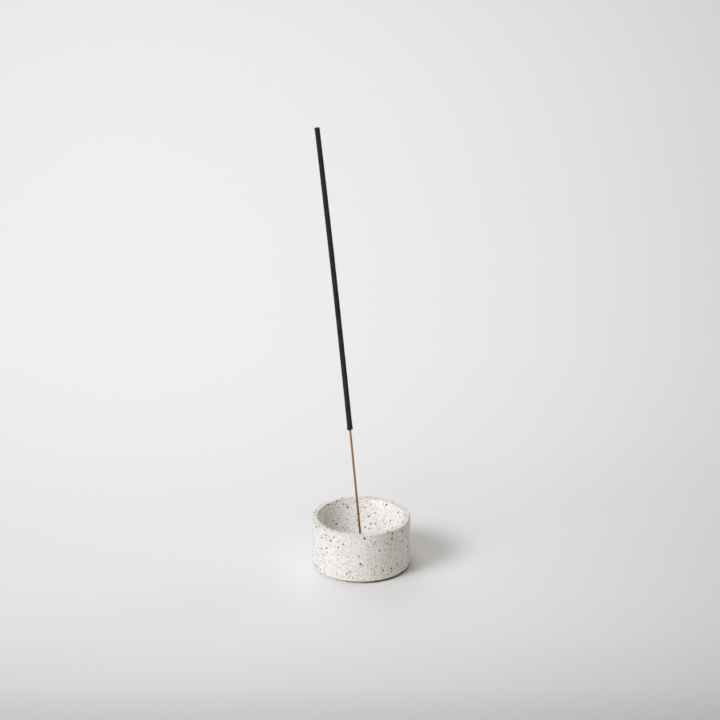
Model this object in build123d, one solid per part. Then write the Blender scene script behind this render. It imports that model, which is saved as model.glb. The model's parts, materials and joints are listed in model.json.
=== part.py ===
from build123d import *
import math
import os

# Incense stick holder, in millimetres: a stoneware dish, and an incense stick that leans in its socket.
# +Z is up, the origin is the centre of the foot, and the stick leans towards -X.

# Stoneware holder
holder_diameter = 50.8
holder_height = 26.7
rim_width = 2.9
rim_outer_round = 0.8
rim_inner_round = 0.6
bowl_depth = 13.5
heel_height = 1.25
heel_round = 0.4
groove_depth = 1.0
groove_height = 0.8
foot_inset = 0.3
foot_edge_height = 0.15
foot_ring_width = 4.5
foot_recess_depth = 0.8
foot_recess_round = 0.6

# Blind socket in the middle of the bowl, wider than the stick's core
socket_clearance = 0.325
socket_mouth_ease = 0.2
clay_under_socket = 5.9

# Bamboo core, bare at its lower end
core_diameter = 1.1
core_end_ease = 0.12
bare_length = 67.4

# Incense paste over the core, thickest at the lip where it ends
coating_length = 155.1
coating_tip_thickness = 0.665
coating_root_thickness = 0.78
coating_lip_thickness = 0.905
coating_lip_length = 3.5
coating_round_share = 0.5

# The stick stands this far off the socket's mouth, wall and floor
seat_gap = 0.03

# Sizes that follow from those above
holder_radius = holder_diameter / 2
bowl_radius = holder_radius - rim_width
groove_radius = holder_radius - groove_depth
foot_radius = holder_radius - foot_inset
foot_recess_rim = foot_radius - foot_ring_width
foot_recess_floor = foot_recess_rim - foot_recess_depth
core_radius = core_diameter / 2
socket_radius = core_radius + socket_clearance
socket_floor = foot_recess_depth + clay_under_socket
mouth_radius = socket_radius + socket_mouth_ease
mouth_height = holder_height - bowl_depth
stick_length = bare_length + coating_length

# How closely an edge has to match, and how often the lean is worked out again
edge_match_share = 1e-6
lean_passes = 40


def ring_edges(solid, radius, height):
    # The round edges of a turned solid at one radius and height
    rings = solid.edges().filter_by(GeomType.CIRCLE)
    wide = rings.filter_by(lambda ring: math.isclose(ring.radius, radius, rel_tol=edge_match_share))
    return wide.filter_by(lambda ring: math.isclose(ring.arc_center.Z, height, rel_tol=edge_match_share))


def turned(outline):
    # A closed outline in radius and height, spun about the vertical axis
    return revolve(make_face(Plane.XZ * outline), Axis.Z)


def foot_height(lean):
    # The lowest corner of the leaning stick stands just off the socket's floor
    return socket_floor + seat_gap + (core_radius - core_end_ease) * math.sin(lean)


def lean_angle():
    # The stick lies against one side of the mouth while its foot stands against the far wall of the socket.
    # Each pass takes the height between those two places from the last angle.
    lean = 0.0
    play = 2 * (socket_radius - seat_gap)
    for _ in range(lean_passes):
        lever = mouth_height - socket_mouth_ease - foot_height(lean)
        thickness = core_radius * (math.cos(lean) + 1 / math.cos(lean))
        lean = math.atan((play + core_end_ease * math.sin(lean) - thickness) / lever)
    return lean


def stick_seat(lean):
    # From a stick that stands upright on the origin to the stick as it leans in the socket
    foot_offset = socket_radius - seat_gap - core_radius * math.cos(lean) + core_end_ease * math.sin(lean)
    return Pos(foot_offset, 0, foot_height(lean)) * Rot(0, -math.degrees(lean), 0)


def stoneware_holder():
    # A groove runs round between the heel of the wall and the foot ring, which flares out to the table.
    # The bowl is a spherical cap from the rim down to the eased mouth of the socket.
    centre_height = (holder_height + mouth_height) / 2 + (bowl_radius**2 - mouth_radius**2) / (2 * bowl_depth)
    cap_radius = math.hypot(mouth_radius, centre_height - mouth_height)
    outside = Polyline(
        (0, foot_recess_depth),
        (foot_recess_floor, foot_recess_depth),
        (foot_recess_rim, 0),
        (foot_radius, 0),
        (foot_radius, foot_edge_height),
        (groove_radius, groove_height),
        (holder_radius, heel_height),
        (holder_radius, holder_height),
        (bowl_radius, holder_height),
    )
    bowl = RadiusArc((bowl_radius, holder_height), (mouth_radius, mouth_height), cap_radius)
    socket = Polyline(
        (mouth_radius, mouth_height),
        (socket_radius, mouth_height - socket_mouth_ease),
        (socket_radius, socket_floor),
        (0, socket_floor),
        (0, foot_recess_depth),
    )
    body = turned(outside + bowl + socket)
    body = fillet(ring_edges(body, holder_radius, holder_height), rim_outer_round)
    body = fillet(ring_edges(body, bowl_radius, holder_height), rim_inner_round)
    body = fillet(ring_edges(body, holder_radius, heel_height), heel_round)
    return fillet(ring_edges(body, foot_recess_floor, foot_recess_depth), foot_recess_round)


def bamboo_core():
    # A round splint with its foot eased, cut square at the tip
    return turned(
        Polyline(
            (0, 0),
            (core_radius - core_end_ease, 0),
            (core_radius, core_end_ease),
            (core_radius, stick_length),
            (0, stick_length),
            close=True,
        )
    )


def incense_coating():
    # A sleeve of paste on the core that thins towards the tip and swells into a lip at its lower end
    tip_radius = core_radius + coating_tip_thickness
    root_radius = core_radius + coating_root_thickness
    lip_radius = core_radius + coating_lip_thickness
    paste = turned(
        Polyline(
            (core_radius, bare_length),
            (lip_radius, bare_length),
            (root_radius, bare_length + coating_lip_length),
            (tip_radius, stick_length),
            (core_radius, stick_length),
            close=True,
        )
    )
    paste = fillet(ring_edges(paste, tip_radius, stick_length), coating_round_share * coating_tip_thickness)
    return fillet(ring_edges(paste, lip_radius, bare_length), coating_round_share * coating_lip_thickness)


lean = lean_angle()
seat = stick_seat(lean)
nodes = {
    "stoneware_holder": stoneware_holder(),
    "bamboo_core": seat * bamboo_core(),
    "incense_coating": seat * incense_coating(),
}

os.makedirs("parts", exist_ok=True)
for name, solid in nodes.items():
    export_step(solid, f"parts/{name}.step")

print(f"the stick leans {math.degrees(lean):.3f} degrees and its foot is at {seat.position}")
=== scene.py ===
import bpy
import json
import math
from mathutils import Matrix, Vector


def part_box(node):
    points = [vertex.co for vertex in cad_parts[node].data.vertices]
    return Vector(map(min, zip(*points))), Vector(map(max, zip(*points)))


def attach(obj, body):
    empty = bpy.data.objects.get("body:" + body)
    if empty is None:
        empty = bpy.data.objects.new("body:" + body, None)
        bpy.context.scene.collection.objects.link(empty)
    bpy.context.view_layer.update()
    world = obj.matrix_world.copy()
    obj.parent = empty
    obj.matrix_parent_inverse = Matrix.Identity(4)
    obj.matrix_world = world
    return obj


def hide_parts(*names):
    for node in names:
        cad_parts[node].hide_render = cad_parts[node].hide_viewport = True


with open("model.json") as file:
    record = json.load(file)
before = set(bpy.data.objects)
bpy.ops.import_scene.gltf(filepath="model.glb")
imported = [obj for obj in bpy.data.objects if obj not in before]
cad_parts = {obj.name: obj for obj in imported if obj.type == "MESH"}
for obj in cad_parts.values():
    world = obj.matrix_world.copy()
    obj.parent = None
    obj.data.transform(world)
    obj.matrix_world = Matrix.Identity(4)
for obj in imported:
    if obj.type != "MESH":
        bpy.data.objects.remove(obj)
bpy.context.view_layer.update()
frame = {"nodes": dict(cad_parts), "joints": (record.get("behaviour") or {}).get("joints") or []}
print("frame loaded:", sorted(frame["nodes"]))


# Node helpers: an input takes a plain value, or the output of another node

nodeLayout = {"rows": 5, "width": 220, "height": 190}  # loose columns, so a tree can be read in the editor


def addNode(tree, kind, inputs=None, **settings):
    node = tree.nodes.new(kind)
    column, row = divmod(len(tree.nodes), nodeLayout["rows"])
    node.location = (nodeLayout["width"] * column, -nodeLayout["height"] * row)
    for name, value in settings.items():
        setattr(node, name, value)
    for key, value in (inputs or {}).items():
        if isinstance(value, bpy.types.NodeSocket):
            tree.links.new(value, node.inputs[key])
        else:
            node.inputs[key].default_value = value
    return node


def maths(tree, operation, a, b=0.0, c=0.0):
    return addNode(tree, "ShaderNodeMath", {0: a, 1: b, 2: c}, operation=operation).outputs[0]


def vectorMaths(tree, operation, a, b=(0, 0, 0)):
    node = addNode(tree, "ShaderNodeVectorMath", {0: a, 1: b}, operation=operation)
    return node.outputs["Value" if operation in ("LENGTH", "DOT_PRODUCT") else "Vector"]


def scaled(tree, vector, factor):
    node = addNode(tree, "ShaderNodeVectorMath", {0: vector, "Scale": factor}, operation="SCALE")
    return node.outputs["Vector"]


def splitAxes(tree, vector):
    return addNode(tree, "ShaderNodeSeparateXYZ", {0: vector}).outputs


def joinAxes(tree, x=0.0, y=0.0, z=0.0):
    return addNode(tree, "ShaderNodeCombineXYZ", {0: x, 1: y, 2: z}).outputs[0]


def smooth(tree, value, low, high):  # 0 at low, 1 at high, and low may be the larger one
    node = addNode(tree, "ShaderNodeMapRange", {0: value, 1: low, 2: high}, interpolation_type="SMOOTHSTEP")
    return node.outputs[0]


def remap(tree, value, toRange, fromRange=(0.0, 1.0)):
    inputs = {0: value, 1: fromRange[0], 2: fromRange[1], 3: toRange[0], 4: toRange[1]}
    return addNode(tree, "ShaderNodeMapRange", inputs).outputs[0]


def blend(tree, factor, under, over):
    node = addNode(tree, "ShaderNodeMix", {0: factor, 6: under, 7: over}, data_type="RGBA")
    return node.outputs[2]


def noise(tree, vector, size, detail=2.0, seed=0.0):  # its lumps are about this size
    inputs = {"Vector": vector, "W": seed, "Scale": maths(tree, "DIVIDE", 1.0, size), "Detail": detail}
    return addNode(tree, "ShaderNodeTexNoise", inputs, noise_dimensions="4D").outputs[0]


def swing(tree, value, amount):  # a 0 to 1 value swings half of the amount to either side of 0
    return maths(tree, "MULTIPLY", maths(tree, "SUBTRACT", value, 0.5), amount)


def newGroup(name, kind, inputs, outputs):
    tree = bpy.data.node_groups.new(name, kind)
    for label, socketType in inputs.items():
        tree.interface.new_socket(label, in_out="INPUT", socket_type="NodeSocket" + socketType)
    for label, socketType in outputs.items():
        tree.interface.new_socket(label, in_out="OUTPUT", socket_type="NodeSocket" + socketType)
    return tree, addNode(tree, "NodeGroupInput").outputs, addNode(tree, "NodeGroupOutput").inputs


def useGroup(tree, group, inputs):
    kind = "GeometryNodeGroup" if tree.bl_idname == "GeometryNodeTree" else "ShaderNodeGroup"
    return addNode(tree, kind, inputs, node_tree=group).outputs


def srgb(red, green, blue):  # a colour as it is read off a screen, 0 to 255
    values = [channel / 255 for channel in (red, green, blue)]
    return [v / 12.92 if v <= 0.04045 else ((v + 0.055) / 1.055) ** 2.4 for v in values] + [1.0]


# Mesh helpers for the geometry trees

def position(tree):
    return addNode(tree, "GeometryNodeInputPosition").outputs[0]


def placed(tree, mesh, places):
    return addNode(tree, "GeometryNodeSetPosition", {"Geometry": mesh, "Position": places}).outputs[0]


def shifted(tree, mesh, offset):
    return addNode(tree, "GeometryNodeSetPosition", {"Geometry": mesh, "Offset": offset}).outputs[0]


def pushOut(tree, mesh, amount):  # moves the surface along its normals
    normal = addNode(tree, "GeometryNodeInputNormal").outputs[0]
    return shifted(tree, mesh, scaled(tree, normal, amount))


def stored(tree, mesh, name, value, kind="FLOAT"):  # keeps a value on the mesh, for its material
    inputs = {"Geometry": mesh, "Name": name, "Value": value}
    return addNode(tree, "GeometryNodeStoreNamedAttribute", inputs, data_type=kind).outputs[0]


def endTree(tree, mesh, material, result):
    mesh = addNode(tree, "GeometryNodeSetShadeSmooth", {"Geometry": mesh, "Shade Smooth": True}).outputs[0]
    mesh = addNode(tree, "GeometryNodeRealizeInstances", {"Geometry": mesh}).outputs[0]
    mesh = addNode(tree, "GeometryNodeSetMaterial", {"Geometry": mesh, "Material": material}).outputs[0]
    tree.links.new(mesh, result)


# Turning: a profile of (radius, 0, height) points is spun about Z, for the dish, the splint and the paste

seamGap = 1e-7  # points of the seam and the poles that are this close become one


def turnGroup():
    sockets = {"Profile": "Geometry", "Segments": "Int"}
    tree, given, result = newGroup("turnProfile", "GeometryNodeTree", sockets, {"Mesh": "Geometry"})
    count = addNode(tree, "GeometryNodeAttributeDomainSize", {0: given["Profile"]}, component="MESH")
    rows = count.outputs[0]
    columns = maths(tree, "ADD", given["Segments"], 1.0)
    gridInputs = {"Size X": 1.0, "Size Y": 1.0, "Vertices X": columns, "Vertices Y": rows}
    grid = addNode(tree, "GeometryNodeMeshGrid", gridInputs).outputs["Mesh"]
    # The grid runs from -0.5 to 0.5: once round along X, and up the profile's points along Y
    place = position(tree)
    across = splitAxes(tree, place)
    angle = maths(tree, "MULTIPLY", maths(tree, "ADD", across[0], 0.5), math.tau)
    lastRow = maths(tree, "SUBTRACT", rows, 1.0)
    row = maths(tree, "ROUND", maths(tree, "MULTIPLY", maths(tree, "ADD", across[1], 0.5), lastRow))
    sampleInputs = {"Geometry": given["Profile"], "Value": place, "Index": row}
    sample = addNode(tree, "GeometryNodeSampleIndex", sampleInputs, data_type="FLOAT_VECTOR").outputs[0]
    point = splitAxes(tree, sample)
    x = maths(tree, "MULTIPLY", point[0], maths(tree, "COSINE", angle))
    y = maths(tree, "MULTIPLY", point[0], maths(tree, "SINE", angle))
    mesh = placed(tree, grid, joinAxes(tree, x, y, point[2]))
    mesh = addNode(tree, "GeometryNodeMergeByDistance", {"Geometry": mesh, "Distance": seamGap}).outputs[0]
    tree.links.new(mesh, result["Mesh"])
    return tree


# Leaning: an upright stick is bowed a little, tipped towards -X and set on its foot

leanSockets = {"Foot": "Vector", "Lean": "Float", "Bow": "Float", "Length": "Float"}


def leanGroup():
    sockets = {"Mesh": "Geometry", **leanSockets}
    tree, given, result = newGroup("leanStick", "GeometryNodeTree", sockets, {"Mesh": "Geometry"})
    place = position(tree)
    mesh = stored(tree, given["Mesh"], "stickSpace", place, "FLOAT_VECTOR")
    share = maths(tree, "DIVIDE", splitAxes(tree, place)[2], given["Length"])
    # 4 s - 4 s s is 0 at both ends of the stick and 1 in the middle
    arch = maths(tree, "MULTIPLY", share, maths(tree, "SUBTRACT", 4.0, maths(tree, "MULTIPLY", share, 4.0)))
    bow = joinAxes(tree, x=maths(tree, "MULTIPLY", arch, given["Bow"]))
    bowed = vectorMaths(tree, "ADD", place, bow)
    tipInputs = {"Vector": bowed, "Angle": maths(tree, "MULTIPLY", given["Lean"], -1.0)}
    tipped = addNode(tree, "ShaderNodeVectorRotate", tipInputs, rotation_type="Y_AXIS").outputs[0]
    mesh = placed(tree, mesh, vectorMaths(tree, "ADD", tipped, given["Foot"]))
    tree.links.new(mesh, result["Mesh"])
    return tree


turnProfile = turnGroup()
leanStick = leanGroup()


def turnedMesh(tree, given):
    return useGroup(tree, turnProfile, {"Profile": given["Profile"], "Segments": given["Segments"]})["Mesh"]


def leanedMesh(tree, mesh, given):
    return useGroup(tree, leanStick, {"Mesh": mesh, **{name: given[name] for name in leanSockets}})["Mesh"]


def makePiece(name, profile, tree, values, body, node):
    mesh = bpy.data.meshes.new(name)
    mesh.from_pydata([(radius, 0, height) for radius, height in profile], [], [])
    piece = bpy.data.objects.new(name, mesh)
    bpy.context.scene.collection.objects.link(piece)
    modifier = piece.modifiers.new(name, "NODES")
    modifier.node_group = tree
    for item in tree.interface.items_tree:
        if item.in_out == "INPUT" and item.name in values:
            modifier[item.identifier] = values[item.name]
    depsgraph = bpy.context.evaluated_depsgraph_get()
    finished = bpy.data.meshes.new_from_object(piece.evaluated_get(depsgraph))
    piece.modifiers.clear()
    piece.data = finished
    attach(piece, body)
    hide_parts(node)
    print(name, "has", len(finished.polygons), "faces")


# Profile helpers: points in radius and height, from the start to just before the end

def line(start, end, steps):
    shares = [step / steps for step in range(steps)]
    return [tuple(a + (b - a) * share for a, b in zip(start, end)) for share in shares]


def arc(centre, radius, fromAngle, toAngle, steps):
    angles = [fromAngle + (toAngle - fromAngle) * step / steps for step in range(steps)]
    return [(centre[0] + radius * math.cos(a), centre[1] + radius * math.sin(a)) for a in angles]


# Shader groups that more than one material uses

speckForm = {
    "frayScale": 0.9,  # lumps of the frayed edge across one radius
    "frayDetail": 1.5,
    "radius": (0.45, 1.0),  # specks differ in size between these shares
    "edge": (1.2, 0.75),  # the mask runs from nothing to full between these shares of the radius
    "glow": (2.4, 0.7),  # and so does the halo
}


def speckGroup():
    sockets = {"Vector": "Vector", "Spacing": "Float", "Size": "Float", "Ragged": "Float", "Share": "Float"}
    results = {"Mask": "Float", "Halo": "Float", "Shade": "Float"}
    tree, given, result = newGroup("speckScatter", "ShaderNodeTree", sockets, results)
    frayInputs = {
        "Vector": given["Vector"],
        "Scale": maths(tree, "DIVIDE", speckForm["frayScale"], given["Size"]),
        "Detail": speckForm["frayDetail"],
    }
    fray = addNode(tree, "ShaderNodeTexNoise", frayInputs).outputs["Color"]
    fray = vectorMaths(tree, "SUBTRACT", fray, (0.5, 0.5, 0.5))
    frayed = scaled(tree, fray, maths(tree, "MULTIPLY", given["Size"], given["Ragged"]))
    cellInputs = {
        "Vector": vectorMaths(tree, "ADD", given["Vector"], frayed),
        "Scale": maths(tree, "DIVIDE", 1.0, given["Spacing"]),
    }
    cells = addNode(tree, "ShaderNodeTexVoronoi", cellInputs).outputs
    # Each cell's random colour says if it has a speck, how large it is and how dark
    chance = addNode(tree, "ShaderNodeSeparateColor", {0: cells["Color"]}).outputs
    distance = maths(tree, "MULTIPLY", cells["Distance"], given["Spacing"])
    radius = maths(tree, "MULTIPLY", given["Size"], remap(tree, chance[1], speckForm["radius"]))
    present = maths(tree, "LESS_THAN", chance[0], given["Share"])
    for label, shares in {"Mask": speckForm["edge"], "Halo": speckForm["glow"]}.items():
        outer, inner = (maths(tree, "MULTIPLY", radius, share) for share in shares)
        spot = smooth(tree, distance, outer, inner)
        tree.links.new(maths(tree, "MULTIPLY", spot, present), result[label])
    tree.links.new(chance[2], result["Shade"])
    return tree


grainForm = {
    "detail": 3.0,
    "fineSeed": 1.0,
    "fineRange": (0.3, 0.7),
    "broadSeed": 2.0,
    "broadRange": (0.32, 0.68),
}


def grainGroup():
    sockets = {"Vector": "Vector", "Fine": "Float", "Broad": "Float"}
    results = {"Grain": "Float", "Drift": "Float"}
    tree, given, result = newGroup("surfaceGrain", "ShaderNodeTree", sockets, results)
    fine = noise(tree, given["Vector"], given["Fine"], grainForm["detail"], grainForm["fineSeed"])
    broad = noise(tree, given["Vector"], given["Broad"], grainForm["detail"], grainForm["broadSeed"])
    tree.links.new(smooth(tree, fine, *grainForm["fineRange"]), result["Grain"])
    tree.links.new(smooth(tree, broad, *grainForm["broadRange"]), result["Drift"])
    return tree


speckScatter = speckGroup()
surfaceGrain = grainGroup()


# Material helpers

def newMaterial(name):
    material = bpy.data.materials.new(name)
    material.use_nodes = True
    tree = material.node_tree
    return material, tree, tree.nodes["Principled BSDF"]


def objectSpace(tree):
    return addNode(tree, "ShaderNodeTexCoord").outputs["Object"]


def attribute(tree, name):
    return addNode(tree, "ShaderNodeAttribute", attribute_name=name).outputs


def layered(tree, mask, share, under, over):  # a colour laid over another by a mask, at most by this share
    return blend(tree, maths(tree, "MULTIPLY", mask, share), under, over)


def grainOf(tree, space, finish):
    inputs = {"Vector": space, "Fine": finish["grainSize"], "Broad": finish["driftSize"]}
    return useGroup(tree, surfaceGrain, inputs)


def specksOf(tree, space, speck):
    inputs = {"Vector": space, "Spacing": speck["spacing"], "Size": speck["size"]}
    return useGroup(tree, speckScatter, {**inputs, "Ragged": speck["ragged"], "Share": speck["share"]})


def bumpInto(tree, shader, height, finish):
    inputs = {"Height": height, "Distance": finish["bumpHeight"], "Strength": finish["bumpStrength"]}
    bump = addNode(tree, "ShaderNodeBump", inputs)
    tree.links.new(bump.outputs[0], shader.inputs["Normal"])


# Dish: a stoneware cylinder with a round bowl and a blind socket

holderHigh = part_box("stoneware_holder")[1]

dish = {
    "radius": holderHigh.x,
    "height": holderHigh.z,
    "rimWidth": 0.0029,
    "rimOuterRound": 0.0008,
    "rimInnerRound": 0.0006,
    "bowlDepth": 0.0135,
    "mouthEase": 0.0002,
    "socketRadius": 0.000875,
    "socketFloor": 0.0067,
    "heelHeight": 0.00125,
    "heelRound": 0.0004,
    "grooveDepth": 0.001,  # between the heel of the wall and the foot ring, which flares out to the table
    "grooveHeight": 0.0008,
    "footInset": 0.0003,
    "footEdge": 0.00015,
    "footRingWidth": 0.0045,
    "footRecessDepth": 0.0008,
    "footRecessRound": 0.0006,
    "grooveDrift": 0.75,  # cut by hand off centre: shallow on the left and deep on the right, as a share
    "grooveSide": 322.0,  # where it is deepest, in degrees anticlockwise from the right
    "paintedShadeDepth": (0.0005, 0.0013),  # painted shade darkens it where it is this deep
    "paintedShadeReach": 0.0008,  # and spreads this far out over the foot on the deep, shaded side
    "paintedShadeSide": (0.6, 1.0),  # which begins and is full at these cosines of the angle from there
    "wander": 0.00006,  # how far the hand-finished surface strays from true
    "wanderLength": 0.013,
    "ripple": 0.00002,
    "rippleLength": 0.0024,
    "glazeEdge": 0.0009,  # height of the wavy line where the glaze stops
    "glazeTilt": 0.008,  # it climbs towards the right
    "glazeWave": 0.0008,  # from the lowest to the highest of its waves
    "glazeWaves": 2.2,  # so many in the length of a wander
    "glazeWaveDetail": 3.0,
    "glazeThickness": 0.00012,
    "rimSoft": 0.0012,  # the glaze runs thin this far from the edges of the rim
    "levelRange": (0.9, 1.0),  # a bare face whose normal is this upright is the foot, and stays flat
    "seed": 7.0,
    "segments": 360,
    # Points along each stretch of the profile, from the middle of the underside round to the socket
    "steps": {
        "recess": 10, "hollow": 4, "slope": 3, "footRing": 8, "footEdge": 2, "flare": 6, "groove": 4,
        "heel": 6, "wall": 66, "rimOuter": 9, "rimTop": 4, "rimInner": 6,
        "bowl": 76, "mouth": 3, "socket": 12,
    },
}

glaze = {
    "body": srgb(226, 226, 225),
    "warm": srgb(224, 223, 220),
    "warmShare": 0.55,
    "grain": srgb(169, 166, 163),
    "grainShare": 0.5,
    "grainSize": 0.0006,
    "driftSize": 0.011,
    "thin": srgb(183, 177, 166),
    "thinShare": 0.6,
    "clay": srgb(221, 211, 205),
    "clayDark": srgb(206, 191, 182),
    # painted shade for the groove under the heel and the foot on its shaded side
    "paintedShade": srgb(126, 93, 50),
    # Each kind of speck, from a faint mist to the boldest iron spots
    "specks": {
        "mist": {
            "spacing": 0.0007, "size": 0.00026, "share": 0.95, "ragged": 0.9, "strength": 0.82, "halo": 0.0,
            "dark": srgb(137, 131, 121), "light": srgb(179, 174, 166),
        },
        "pepper": {
            "spacing": 0.0012, "size": 0.00024, "share": 0.95, "ragged": 0.9, "strength": 0.72, "halo": 0.0,
            "dark": srgb(76, 65, 54), "light": srgb(128, 111, 91),
        },
        "umber": {
            "spacing": 0.0017, "size": 0.00036, "share": 0.55, "ragged": 0.9, "strength": 0.95, "halo": 0.1,
            "dark": srgb(54, 43, 34), "light": srgb(120, 95, 67),
        },
        "ochre": {
            "spacing": 0.0029, "size": 0.00056, "share": 0.75, "ragged": 0.9, "strength": 1.0, "halo": 0.3,
            "dark": srgb(111, 73, 25), "light": srgb(170, 135, 71),
        },
        "iron": {
            "spacing": 0.0028, "size": 0.00064, "share": 0.54, "ragged": 0.9, "strength": 1.0, "halo": 0.25,
            "dark": srgb(17, 11, 7), "light": srgb(54, 38, 24),
        },
    },
    "layerStart": (0.159, 0.087),  # where the first layer of specks is taken from the pattern
    "layerStep": (0.31, 0.17),  # and how far on each of the others
    "haloTint": srgb(196, 185, 154),
    "roughness": (0.46, 0.64),
    "pitRoughness": 0.12,  # specks are this much rougher
    "clayRoughness": 0.9,
    "specular": 0.22,
    "peelSize": 0.0011,  # the glaze's orange peel
    "peelDetail": 3.0,
    "peelSeed": 4.0,
    "grainRelief": 0.35,  # beside a peel of 1
    "pitRelief": 0.6,
    "bumpHeight": 0.00014,
    "bumpStrength": 0.7,
}


def dishProfile(sizes):
    rim, top, steps = sizes["radius"], sizes["height"], sizes["steps"]
    quarter = math.pi / 2
    # Underside: a shallow recess inside the foot ring, and a groove between the ring and the heel of the wall
    foot = rim - sizes["footInset"]
    recess = foot - sizes["footRingWidth"]
    depth, hollow = sizes["footRecessDepth"], sizes["footRecessRound"]
    slant = quarter / 2
    ceiling = recess - depth - hollow * math.tan(slant / 2)
    slope = (ceiling + hollow * math.sin(slant), depth - hollow + hollow * math.cos(slant))
    groove = (rim - sizes["grooveDepth"], sizes["grooveHeight"])
    edge = (foot, sizes["footEdge"])
    rise = math.atan2(sizes["heelHeight"] - sizes["grooveHeight"], sizes["grooveDepth"])
    heel = sizes["heelRound"]
    ease = heel * math.tan((quarter - rise) / 2)
    wall = sizes["heelHeight"] + ease
    heelStart = (rim - ease * math.cos(rise), sizes["heelHeight"] - ease * math.sin(rise))
    # Bowl: a spherical cap from the rim's round down to the eased mouth of the socket
    socket, mouthHeight = sizes["socketRadius"], top - sizes["bowlDepth"]
    mouth = (socket + sizes["mouthEase"], mouthHeight)
    throat = (socket, mouthHeight - sizes["mouthEase"])
    bowlEdge = rim - sizes["rimWidth"]
    capHeight = (top + mouthHeight) / 2 + (bowlEdge**2 - mouth[0] ** 2) / (2 * sizes["bowlDepth"])
    capRadius = math.hypot(mouth[0], capHeight - mouthHeight)
    inner, outer = sizes["rimInnerRound"], sizes["rimOuterRound"]
    innerDrop = capHeight - (top - inner)
    innerRound = (math.sqrt((capRadius + inner) ** 2 - innerDrop**2), top - inner)
    bowlAngle = math.atan2(innerDrop, -innerRound[0])  # from the rim's round towards the middle of the cap
    mouthAngle = math.atan2(mouthHeight - capHeight, mouth[0])
    profile = line((0, depth), (ceiling, depth), steps["recess"])
    profile += arc((ceiling, depth - hollow), hollow, quarter, slant, steps["hollow"])
    profile += line(slope, (recess, 0), steps["slope"])
    profile += line((recess, 0), (foot, 0), steps["footRing"])
    profile += line((foot, 0), edge, steps["footEdge"])
    profile += line(edge, groove, steps["flare"])
    profile += line(groove, heelStart, steps["groove"])
    profile += arc((rim - heel, wall), heel, rise - quarter, 0, steps["heel"])
    profile += line((rim, wall), (rim, top - outer), steps["wall"])
    profile += arc((rim - outer, top - outer), outer, 0, quarter, steps["rimOuter"])
    profile += line((rim - outer, top), (innerRound[0], top), steps["rimTop"])
    profile += arc(innerRound, inner, quarter, bowlAngle, steps["rimInner"])
    profile += arc((0, capHeight), capRadius, bowlAngle - math.pi, mouthAngle, steps["bowl"])
    profile += line(mouth, throat, steps["mouth"])
    profile += line(throat, (socket, sizes["socketFloor"]), steps["socket"])
    return profile + [(socket, sizes["socketFloor"]), (0, sizes["socketFloor"])]


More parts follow.
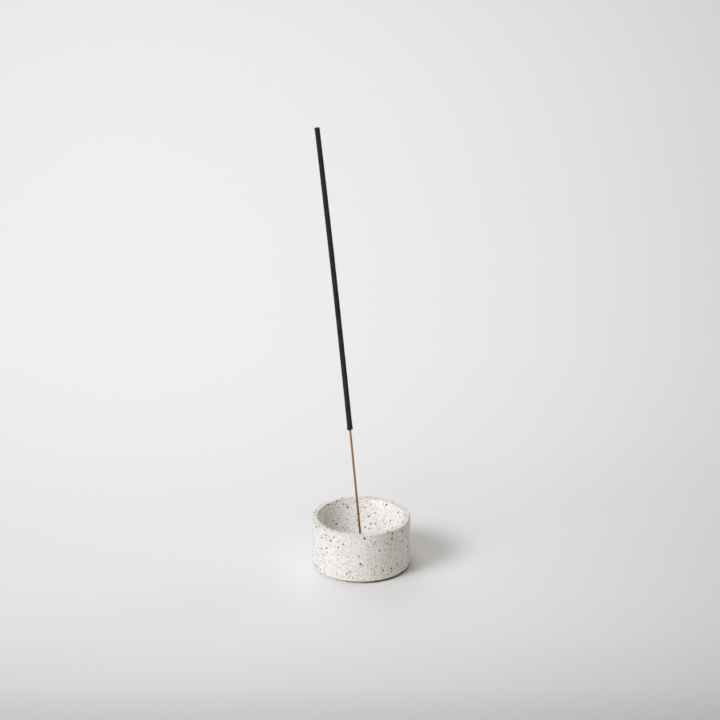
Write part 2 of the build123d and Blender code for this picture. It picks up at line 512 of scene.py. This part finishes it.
def dishTree():
    sockets = {
        "Profile": "Geometry", "Segments": "Int", "Seed": "Float", "Wander": "Float",
        "Wander Length": "Float", "Ripple": "Float", "Ripple Length": "Float", "Glaze Edge": "Float",
        "Glaze Tilt": "Float", "Glaze Wave": "Float", "Glaze Wave Length": "Float",
        "Glaze Thickness": "Float", "Rim Height": "Float", "Rim Outer": "Float", "Rim Inner": "Float",
        "Rim Soft": "Float", "Foot Inside": "Float", "Groove Radius": "Float", "Heel Height": "Float",
        "Groove Drift": "Float", "Groove Side": "Vector", "Painted Shade From": "Float", "Painted Shade To": "Float",
        "Painted Shade Reach": "Float", "Side From": "Float", "Side To": "Float", "Level From": "Float",
        "Level To": "Float", "Material": "Material",
    }
    tree, given, result = newGroup("turnedDish", "GeometryNodeTree", sockets, {"Mesh": "Geometry"})
    mesh = turnedMesh(tree, given)
    place = position(tree)
    parts = splitAxes(tree, place)
    flat = joinAxes(tree, parts[0], parts[1])
    radius = vectorMaths(tree, "LENGTH", flat)
    # The groove is deeper on one side, so all that stands back below the heel moves in or out
    inset = maths(tree, "SUBTRACT", given["Rim Outer"], radius)
    outside = smooth(tree, radius, given["Foot Inside"], given["Groove Radius"])
    below = maths(tree, "MULTIPLY", maths(tree, "LESS_THAN", parts[2], given["Heel Height"]), outside)
    outward = vectorMaths(tree, "NORMALIZE", flat)
    sway = vectorMaths(tree, "DOT_PRODUCT", outward, given["Groove Side"])
    shift = maths(tree, "MULTIPLY", maths(tree, "MULTIPLY", inset, below), given["Groove Drift"])
    shift = maths(tree, "MULTIPLY", shift, sway)
    # Painted shade: darker where the groove is deep, and further out over the foot on the deep, shaded side
    deep = maths(tree, "ADD", inset, shift)
    deepSide = smooth(tree, sway, given["Side From"], given["Side To"])
    deep = maths(tree, "MULTIPLY_ADD", deepSide, given["Painted Shade Reach"], deep)
    paintedShade = maths(tree, "MULTIPLY", smooth(tree, deep, given["Painted Shade From"], given["Painted Shade To"]), below)
    # The glaze stops in a wavy line above the foot, and the bare clay stands a little behind it
    wave = noise(tree, flat, given["Glaze Wave Length"], dish["glazeWaveDetail"], given["Seed"])
    edge = maths(tree, "MULTIPLY_ADD", parts[0], given["Glaze Tilt"], given["Glaze Edge"])
    edge = maths(tree, "ADD", edge, swing(tree, wave, given["Glaze Wave"]))
    over = maths(tree, "ADD", edge, given["Glaze Thickness"])
    under = maths(tree, "SUBTRACT", edge, given["Glaze Thickness"])
    bare = smooth(tree, parts[2], over, under)
    # Glaze runs thin over the two edges of the rim
    rise = maths(tree, "SUBTRACT", parts[2], given["Rim Height"])
    thin = 0.0
    for ring in ("Rim Outer", "Rim Inner"):
        reach = maths(tree, "SUBTRACT", radius, given[ring])
        away = vectorMaths(tree, "LENGTH", joinAxes(tree, reach, rise))
        thin = maths(tree, "MAXIMUM", thin, smooth(tree, away, given["Rim Soft"], 0.0))
    for name, value in {"bareClay": bare, "thinGlaze": thin, "paintedShade": paintedShade}.items():
        mesh = stored(tree, mesh, name, value)
    mesh = shifted(tree, mesh, scaled(tree, outward, maths(tree, "MULTIPLY", shift, -1.0)))
    # Slow wander and short ripples only ever take away, so the dish stays inside its true size
    slow = noise(tree, place, given["Wander Length"], seed=given["Seed"])
    short = noise(tree, place, given["Ripple Length"], seed=given["Seed"])
    worn = maths(tree, "MULTIPLY", slow, given["Wander"])
    worn = maths(tree, "ADD", worn, maths(tree, "MULTIPLY", short, given["Ripple"]))
    worn = maths(tree, "ADD", worn, maths(tree, "MULTIPLY", bare, given["Glaze Thickness"]))
    # The foot stays flat on the table
    normal = addNode(tree, "GeometryNodeInputNormal").outputs[0]
    level = maths(tree, "ABSOLUTE", splitAxes(tree, normal)[2])
    standing = maths(tree, "MULTIPLY", bare, smooth(tree, level, given["Level From"], given["Level To"]))
    worn = maths(tree, "MULTIPLY", worn, maths(tree, "SUBTRACT", 1.0, standing))
    mesh = pushOut(tree, mesh, maths(tree, "MULTIPLY", worn, -1.0))
    endTree(tree, mesh, given["Material"], result["Mesh"])
    return tree


def glazeMaterial():
    material, tree, shader = newMaterial("speckledGlaze")
    space = objectSpace(tree)
    grain = grainOf(tree, space, glaze)
    bare = attribute(tree, "bareClay")["Fac"]
    thin = attribute(tree, "thinGlaze")["Fac"]
    # The glaze shows the clay's grain and darkens where it is thin, and the bare clay below it gets painted
    # shade in the groove
    colour = layered(tree, grain["Drift"], glaze["warmShare"], glaze["body"], glaze["warm"])
    colour = layered(tree, grain["Grain"], glaze["grainShare"], colour, glaze["grain"])
    colour = layered(tree, thin, glaze["thinShare"], colour, glaze["thin"])
    clay = blend(tree, grain["Grain"], glaze["clay"], glaze["clayDark"])
    clay = blend(tree, attribute(tree, "paintedShade")["Fac"], clay, glaze["paintedShade"])
    colour = blend(tree, bare, colour, clay)
    # Specks lie over both, each kind from its own part of the pattern
    pits = 0.0
    for index, speck in enumerate(glaze["specks"].values()):
        layer = [start + step * index for start, step in zip(glaze["layerStart"], glaze["layerStep"])] + [0.0]
        shift = addNode(tree, "ShaderNodeMapping", {"Vector": space, "Location": layer}).outputs[0]
        found = specksOf(tree, shift, speck)
        tint = blend(tree, found["Shade"], speck["dark"], speck["light"])
        colour = layered(tree, found["Halo"], speck["halo"], colour, glaze["haloTint"])
        colour = layered(tree, found["Mask"], speck["strength"], colour, tint)
        pits = maths(tree, "MAXIMUM", pits, found["Mask"])
    tree.links.new(colour, shader.inputs["Base Color"])
    rough = remap(tree, grain["Drift"], glaze["roughness"])
    rough = maths(tree, "ADD", rough, maths(tree, "MULTIPLY", pits, glaze["pitRoughness"]))
    rough = addNode(tree, "ShaderNodeMix", {0: bare, 2: rough, 3: glaze["clayRoughness"]}).outputs[0]
    tree.links.new(rough, shader.inputs["Roughness"])
    shader.inputs["Specular IOR Level"].default_value = glaze["specular"]
    # Orange peel and grain stand up a little, and the specks are pits
    peel = noise(tree, space, glaze["peelSize"], glaze["peelDetail"], glaze["peelSeed"])
    height = maths(tree, "ADD", maths(tree, "MULTIPLY", grain["Grain"], glaze["grainRelief"]), peel)
    height = maths(tree, "SUBTRACT", height, maths(tree, "MULTIPLY", pits, glaze["pitRelief"]))
    bumpInto(tree, shader, height, glaze)
    return material


def buildDish():
    grooveAngle = math.radians(dish["grooveSide"])
    values = {
        "Segments": dish["segments"],
        "Seed": dish["seed"],
        "Wander": dish["wander"],
        "Wander Length": dish["wanderLength"],
        "Ripple": dish["ripple"],
        "Ripple Length": dish["rippleLength"],
        "Glaze Edge": dish["glazeEdge"],
        "Glaze Tilt": dish["glazeTilt"],
        "Glaze Wave": dish["glazeWave"],
        "Glaze Wave Length": dish["wanderLength"] / dish["glazeWaves"],
        "Glaze Thickness": dish["glazeThickness"],
        "Rim Height": dish["height"],
        "Rim Outer": dish["radius"],
        "Rim Inner": dish["radius"] - dish["rimWidth"],
        "Rim Soft": dish["rimSoft"],
        "Foot Inside": dish["radius"] - dish["footInset"] - dish["footRingWidth"],
        "Groove Radius": dish["radius"] - dish["grooveDepth"],
        "Heel Height": dish["heelHeight"],
        "Groove Drift": dish["grooveDrift"],
        "Groove Side": (math.cos(grooveAngle), math.sin(grooveAngle), 0.0),
        # painted shade in the groove and on the foot's shaded side
        "Painted Shade From": dish["paintedShadeDepth"][0],
        "Painted Shade To": dish["paintedShadeDepth"][1],
        "Painted Shade Reach": dish["paintedShadeReach"],
        "Side From": dish["paintedShadeSide"][0],
        "Side To": dish["paintedShadeSide"][1],
        "Level From": dish["levelRange"][0],
        "Level To": dish["levelRange"][1],
        "Material": glazeMaterial(),
    }
    makePiece("speckledDish", dishProfile(dish), dishTree(), values,
              "holder", "stoneware_holder")


# Stick: its length, lean and foot are read off the frame

coreLow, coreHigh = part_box("bamboo_core")
liftAxis = Vector(frame["joints"][0]["axis"]).normalized()

stick = {
    "coreRadius": (coreHigh.y - coreLow.y) / 2,
    "footEase": 0.00012,
    "lean": math.atan2(-liftAxis.x, liftAxis.z),
    "bow": 0.000665,  # the splint is not quite straight
    "coatingLength": 0.1551,
    "tipThickness": 0.000665,
    "rootThickness": 0.00078,
    "lipThickness": 0.000905,
    "lipLength": 0.0035,
    "roundShare": 0.5,
    "fibreDepth": 0.00003,
    "fibreWidth": 0.00016,
    "fibreLength": 0.02,
    "grainDepth": 0.00012,
    "grainSize": 0.00034,
    "grainDetail": 3.0,
    "lumpDepth": 0.00012,
    "lumpLength": 0.004,
    "lumpDetail": 1.0,
    "swell": 0.00002,  # the paste stands this much proud on average
    "endSlant": 0.12,  # its lower end is cut aslant, lower on the left
    "endRag": 0.0006,
    "endRagSize": 0.0009,
    "seed": 3.0,
    "splintSegments": 28,
    "splintStep": 0.0006,  # between the rings of points along it
    "pasteSegments": 56,
    "pasteStep": 0.00024,
    "capSteps": 3,  # points along the shorter stretches of the two profiles
    "easeSteps": 2,
    "roundSteps": 6,
    "boreSteps": 60,
}
leanSin, leanCos = math.sin(stick["lean"]), math.cos(stick["lean"])
footSlack = stick["coreRadius"] - stick["footEase"]
stick["length"] = (coreHigh.z - coreLow.z - (stick["coreRadius"] + footSlack) * leanSin) / leanCos
stick["foot"] = (
    coreLow.x + stick["length"] * leanSin + stick["coreRadius"] * leanCos,
    0.0,
    coreLow.z + footSlack * leanSin,
)
stick["bare"] = stick["length"] - stick["coatingLength"]

bamboo = {
    "pale": srgb(187, 133, 76),
    "mid": srgb(149, 101, 59),
    "deep": srgb(105, 66, 38),
    "deepShare": 0.6,
    "footTone": srgb(102, 61, 38),
    "footToneRange": (0.062, 0.014),  # it darkens towards the foot, between these heights
    "footToneShare": 0.65,
    "strandStretch": 0.012,  # the grain is drawn out along the splint
    "grainSize": 0.00009,
    "driftSize": 0.0004,
    "flecks": {"spacing": 0.00028, "size": 0.00004, "share": 0.5, "ragged": 0.6, "strength": 0.7,
               "tint": srgb(71, 43, 27)},
    "roughness": (0.55, 0.75),
    "specular": 0.3,
    "bumpHeight": 0.00003,
    "bumpStrength": 0.7,
}

charcoal = {
    "black": srgb(31, 29, 29),
    "blackShare": 0.5,
    "grey": srgb(53, 50, 49),
    "grainSize": 0.00013,
    "driftSize": 0.0018,
    "flecks": {"spacing": 0.00052, "size": 0.00006, "share": 0.45, "ragged": 0.8, "strength": 0.6,
               "tint": srgb(90, 79, 67)},
    "roughness": (0.82, 0.96),
    "specular": 0.15,
    "bumpHeight": 0.00005,
    "bumpStrength": 0.8,
}


def leanValues(sizes):
    return {name: sizes[name.lower()] for name in leanSockets}


def splintProfile(sizes):
    radius, ease, length = sizes["coreRadius"], sizes["footEase"], sizes["length"]
    profile = line((0, 0), (radius - ease, 0), sizes["capSteps"])
    profile += line((radius - ease, 0), (radius, ease), sizes["easeSteps"])
    profile += line((radius, ease), (radius, length), round(length / sizes["splintStep"]))
    return profile + line((radius, length), (0, length), sizes["capSteps"]) + [(0, length)]


def pasteProfile(sizes):
    core, start, tip = sizes["coreRadius"], sizes["bare"], sizes["length"]
    lip = core + sizes["lipThickness"]
    root = core + sizes["rootThickness"]
    top = core + sizes["tipThickness"]
    lipRound = sizes["roundShare"] * sizes["lipThickness"]
    tipRound = sizes["roundShare"] * sizes["tipThickness"]
    neck = start + sizes["lipLength"]
    quarter = math.pi / 2
    profile = line((core, start), (lip - lipRound, start), sizes["capSteps"])
    profile += arc((lip - lipRound, start + lipRound), lipRound, -quarter, 0, sizes["roundSteps"])
    profile += line((lip, start + lipRound), (root, neck), round((neck - start) / sizes["pasteStep"]))
    profile += line((root, neck), (top, tip - tipRound), round((tip - neck) / sizes["pasteStep"]))
    profile += arc((top - tipRound, tip - tipRound), tipRound, 0, quarter, sizes["roundSteps"])
    profile += line((top - tipRound, tip), (core, tip), sizes["capSteps"])
    return profile + line((core, tip), (core, start), sizes["boreSteps"]) + [(core, start)]


def splintTree():
    sockets = {
        "Profile": "Geometry", "Segments": "Int", "Seed": "Float", "Fibre Depth": "Float",
        "Fibre Width": "Float", "Fibre Length": "Float", **leanSockets, "Material": "Material",
    }
    tree, given, result = newGroup("bambooSplint", "GeometryNodeTree", sockets, {"Mesh": "Geometry"})
    mesh = turnedMesh(tree, given)
    fibre = joinAxes(tree, given["Fibre Width"], given["Fibre Width"], given["Fibre Length"])
    fibres = noise(tree, vectorMaths(tree, "DIVIDE", position(tree), fibre), 1.0, seed=given["Seed"])
    mesh = pushOut(tree, mesh, swing(tree, fibres, given["Fibre Depth"]))
    endTree(tree, leanedMesh(tree, mesh, given), given["Material"], result["Mesh"])
    return tree


def pasteTree():
    sockets = {
        "Profile": "Geometry", "Segments": "Int", "Seed": "Float", "Grain Depth": "Float",
        "Grain Size": "Float", "Lump Depth": "Float", "Lump Length": "Float", "Swell": "Float",
        "Core": "Float", "Skin": "Float", "Start": "Float", "Lip Length": "Float", "End Slant": "Float",
        "End Rag": "Float", "End Rag Size": "Float", **leanSockets, "Material": "Material",
    }
    tree, given, result = newGroup("rolledPaste", "GeometryNodeTree", sockets, {"Mesh": "Geometry"})
    mesh = turnedMesh(tree, given)
    place = position(tree)
    parts = splitAxes(tree, place)
    flat = joinAxes(tree, parts[0], parts[1])
    # The outside is grainy and lumpy, and the bore stays on the splint
    skin = smooth(tree, vectorMaths(tree, "LENGTH", flat), given["Core"], given["Skin"])
    grains = noise(tree, place, given["Grain Size"], stick["grainDetail"], given["Seed"])
    lumps = noise(tree, place, given["Lump Length"], stick["lumpDetail"], given["Seed"])
    relief = maths(tree, "ADD", given["Swell"], swing(tree, grains, given["Grain Depth"]))
    relief = maths(tree, "ADD", relief, swing(tree, lumps, given["Lump Depth"]))
    # At the tip the relief only takes away, so the stick keeps its length
    tipZone = maths(tree, "SUBTRACT", given["Length"], given["Grain Size"])
    atTip = smooth(tree, parts[2], tipZone, given["Length"])
    relief = maths(tree, "SUBTRACT", relief, maths(tree, "MULTIPLY", atTip, given["Grain Depth"]))
    mesh = pushOut(tree, mesh, maths(tree, "MULTIPLY", relief, skin))
    # The lower end is aslant and ragged, and that fades out over the length of the lip
    lipEnd = maths(tree, "ADD", given["Start"], given["Lip Length"])
    nearEnd = smooth(tree, parts[2], lipEnd, given["Start"])
    rag = swing(tree, noise(tree, flat, given["End Rag Size"], seed=given["Seed"]), given["End Rag"])
    rag = maths(tree, "MULTIPLY_ADD", parts[0], given["End Slant"], rag)
    mesh = shifted(tree, mesh, joinAxes(tree, z=maths(tree, "MULTIPLY", rag, nearEnd)))
    endTree(tree, leanedMesh(tree, mesh, given), given["Material"], result["Mesh"])
    return tree


def bambooMaterial():
    material, tree, shader = newMaterial("bambooSkin")
    space = attribute(tree, "stickSpace")["Vector"]
    stretch = (1.0, 1.0, bamboo["strandStretch"])
    strands = addNode(tree, "ShaderNodeMapping", {"Vector": space, "Scale": stretch}).outputs[0]
    grain = grainOf(tree, strands, bamboo)
    flecks = bamboo["flecks"]
    found = specksOf(tree, strands, flecks)
    colour = blend(tree, grain["Drift"], bamboo["pale"], bamboo["mid"])
    colour = layered(tree, grain["Grain"], bamboo["deepShare"], colour, bamboo["deep"])
    nearFoot = smooth(tree, splitAxes(tree, space)[2], *bamboo["footToneRange"])
    colour = layered(tree, nearFoot, bamboo["footToneShare"], colour, bamboo["footTone"])
    colour = layered(tree, found["Mask"], flecks["strength"], colour, flecks["tint"])
    tree.links.new(colour, shader.inputs["Base Color"])
    tree.links.new(remap(tree, grain["Grain"], bamboo["roughness"]), shader.inputs["Roughness"])
    shader.inputs["Specular IOR Level"].default_value = bamboo["specular"]
    bumpInto(tree, shader, grain["Grain"], bamboo)
    return material


def pasteMaterial():
    material, tree, shader = newMaterial("charcoalPaste")
    space = attribute(tree, "stickSpace")["Vector"]
    grain = grainOf(tree, space, charcoal)
    flecks = charcoal["flecks"]
    found = specksOf(tree, space, flecks)
    colour = blend(tree, grain["Drift"], charcoal["black"], charcoal["grey"])
    colour = layered(tree, grain["Grain"], charcoal["blackShare"], colour, charcoal["black"])
    colour = layered(tree, found["Mask"], flecks["strength"], colour, flecks["tint"])
    tree.links.new(colour, shader.inputs["Base Color"])
    tree.links.new(remap(tree, grain["Grain"], charcoal["roughness"]), shader.inputs["Roughness"])
    shader.inputs["Specular IOR Level"].default_value = charcoal["specular"]
    bumpInto(tree, shader, grain["Grain"], charcoal)
    return material


def buildSplint():
    values = {
        "Segments": stick["splintSegments"],
        "Seed": stick["seed"],
        "Fibre Depth": stick["fibreDepth"],
        "Fibre Width": stick["fibreWidth"],
        "Fibre Length": stick["fibreLength"],
        "Material": bambooMaterial(),
        **leanValues(stick),
    }
    makePiece("bambooSplint", splintProfile(stick), splintTree(), values, "stick", "bamboo_core")


def buildPaste():
    values = {
        "Segments": stick["pasteSegments"],
        "Seed": stick["seed"],
        "Grain Depth": stick["grainDepth"],
        "Grain Size": stick["grainSize"],
        "Lump Depth": stick["lumpDepth"],
        "Lump Length": stick["lumpLength"],
        "Swell": stick["swell"],
        "Core": stick["coreRadius"],
        "Skin": stick["coreRadius"] + stick["tipThickness"] / 2,
        "Start": stick["bare"],
        "Lip Length": stick["lipLength"],
        "End Slant": stick["endSlant"],
        "End Rag": stick["endRag"],
        "End Rag Size": stick["endRagSize"],
        "Material": pasteMaterial(),
        **leanValues(stick),
    }
    makePiece("charcoalPaste", pasteProfile(stick), pasteTree(), values,
              "stick", "incense_coating")


# Stage: a pale table top with painted light fall-off to the sides, to the front and far behind, and broad
# soft lamps

stage = {
    "floorSize": 12.0,
    "tint": (0.7729, 0.7831, 0.7996),
    "fanStart": -0.9078,  # the painted light fall-off to the sides fans out from here
    "fanCentre": -0.13,
    "fanFall": 1.9,
    "fanNear": 0.7,  # nearer than this the fan gets no narrower
    "fanLimit": 0.3,  # it takes no more than this away, and eases towards that
    "fanEase": 0.1,
    "depthRange": (-0.16, 0.34),
    # Place along that range, and how bright the painted light fall-off leaves the table there
    "depthFall": [(0.0, 0.656), (0.06, 0.776), (0.14, 0.859), (0.23, 0.903), (0.38, 0.926), (0.5, 0.944),
                  (0.64, 0.972), (1.0, 1.0)],
    "farRange": (0.6, 2.6),  # far behind the dish the painted light falls off again
    "farLevel": 0.932,
    "grainSize": 0.0009,
    "driftSize": 0.5,
    "grainLevels": (0.995, 1.005),
    "roughness": 0.9,
    "specular": 0.1,
}

# Heights and azimuths are in degrees, anticlockwise from the right.
# Breadth is the angle that a lamp fills, seen from the dish.
keyTint = (0.99, 1.005, 1.03)
lamps = {
    "keyWide": {"height": 40, "azimuth": 200, "breadth": 24, "level": 0.189, "tint": keyTint},
    "keyMid": {"height": 40, "azimuth": 216, "breadth": 24, "level": 0.405, "tint": keyTint},
    "keyLow": {"height": 30, "azimuth": 216, "breadth": 24, "level": 0.255, "tint": keyTint},
    "frontFill": {"height": 5, "azimuth": 250, "breadth": 25, "level": 0.379, "tint": (1.085, 0.995, 0.835)},
    "rightFill": {"height": 20, "azimuth": 290, "breadth": 50, "level": 0.06, "tint": (1.01, 0.99, 0.97)},
    "sideFill": {"height": 5, "azimuth": 30, "breadth": 25, "level": 0.299, "tint": (1.17, 0.99, 0.71)},
    "backFill": {"height": 40, "azimuth": 110, "breadth": 50, "level": 0.299, "tint": (1.0, 1.0, 1.0)},
    "topFill": {"height": 90, "azimuth": 0, "breadth": 60, "level": 0.314, "tint": (1.02, 0.97, 0.92)},
}

# The backdrop is only seen, and the lamps do all the lighting
studio = {"backdrop": srgb(236, 236, 236), "around": srgb(0, 0, 0)}

camera = {
    "lens": 82.5,
    "sensor": 36.0,
    "place": (-0.000583, -0.7802, 0.3759),
    "pitch": 18.742,
    "clip": (0.01, 100.0),
}


def floorMaterial():
    material, tree, shader = newMaterial("paleTable")
    space = objectSpace(tree)
    place = splitAxes(tree, space)
    # Painted light fall-off: darker to either side, in a fan that opens towards the back
    reach = maths(tree, "MAXIMUM", maths(tree, "SUBTRACT", place[1], stage["fanStart"]), stage["fanNear"])
    side = maths(tree, "SUBTRACT", maths(tree, "DIVIDE", place[0], reach), stage["fanCentre"])
    drop = maths(tree, "MULTIPLY", maths(tree, "MULTIPLY", side, side), stage["fanFall"])
    drop = maths(tree, "SMOOTH_MIN", drop, stage["fanLimit"], stage["fanEase"])
    level = maths(tree, "SUBTRACT", 1.0, drop)
    # A little darker far behind, as painted light fall-off, with a faint grain
    level = maths(tree, "MULTIPLY", level, remap(tree, place[1], (1.0, stage["farLevel"]), stage["farRange"]))
    grain = grainOf(tree, space, stage)["Grain"]
    level = maths(tree, "MULTIPLY", level, remap(tree, grain, stage["grainLevels"]))
    # Painted light fall-off: darker towards the front, along a ramp
    depth = remap(tree, place[1], (0.0, 1.0), stage["depthRange"])
    fall = addNode(tree, "ShaderNodeValToRGB", {0: depth})
    ramp = fall.color_ramp
    ramp.interpolation = "CARDINAL"
    while len(ramp.elements) < len(stage["depthFall"]):
        ramp.elements.new(0.5)  # each gets its own place below
    for stop, (share, bright) in zip(ramp.elements, stage["depthFall"]):
        stop.position = share
        stop.color = (bright, bright, bright, 1.0)
    colour = vectorMaths(tree, "MULTIPLY", fall.outputs[0], stage["tint"])
    tree.links.new(scaled(tree, colour, level), shader.inputs["Base Color"])
    shader.inputs["Roughness"].default_value = stage["roughness"]
    shader.inputs["Specular IOR Level"].default_value = stage["specular"]
    return material


def buildStage():
    half = stage["floorSize"] / 2
    mesh = bpy.data.meshes.new("tableTop")
    corners = [(-half, -half, 0), (half, -half, 0), (half, half, 0), (-half, half, 0)]
    mesh.from_pydata(corners, [], [(0, 1, 2, 3)])
    mesh.materials.append(floorMaterial())
    floor = bpy.data.objects.new("tableTop", mesh)
    bpy.context.scene.collection.objects.link(floor)
    print("stage set")


def buildLight():
    for name, lamp in lamps.items():
        sun = bpy.data.lights.new(name, "SUN")
        sun.energy = lamp["level"] * math.pi  # a level of 1 straight on shows a colour as it is written
        sun.angle = math.radians(lamp["breadth"])
        sun.color = lamp["tint"]
        height, azimuth = math.radians(lamp["height"]), math.radians(lamp["azimuth"])
        reach = math.cos(height)
        source = Vector((math.cos(azimuth) * reach, math.sin(azimuth) * reach, math.sin(height)))
        lampObject = bpy.data.objects.new(name, sun)
        lampObject.rotation_euler = (-source).to_track_quat("-Z", "Y").to_euler()  # it shines from there
        bpy.context.scene.collection.objects.link(lampObject)
    world = bpy.data.worlds.new("studio")
    bpy.context.scene.world = world
    world.use_nodes = True
    tree = world.node_tree
    seen = addNode(tree, "ShaderNodeLightPath").outputs
    rays = maths(tree, "MAXIMUM", seen["Is Camera Ray"], seen["Is Glossy Ray"])
    rays = maths(tree, "MAXIMUM", rays, seen["Is Transmission Ray"])
    colour = blend(tree, rays, studio["around"], studio["backdrop"])
    tree.links.new(colour, tree.nodes["Background"].inputs["Color"])
    print("light set:", len(lamps), "lamps")


def buildCamera():
    lens = bpy.data.cameras.new("photoView")
    lens.lens = camera["lens"]
    lens.sensor_width = camera["sensor"]
    lens.clip_start, lens.clip_end = camera["clip"]
    view = bpy.data.objects.new("photoView", lens)
    view.location = camera["place"]
    view.rotation_euler = (math.radians(90 - camera["pitch"]), 0, 0)
    bpy.context.scene.collection.objects.link(view)
    bpy.context.scene.camera = view
    print("camera set")


buildDish()
buildSplint()
buildPaste()
buildStage()
buildLight()
buildCamera()
bpy.context.scene.view_settings.view_transform = "Standard"
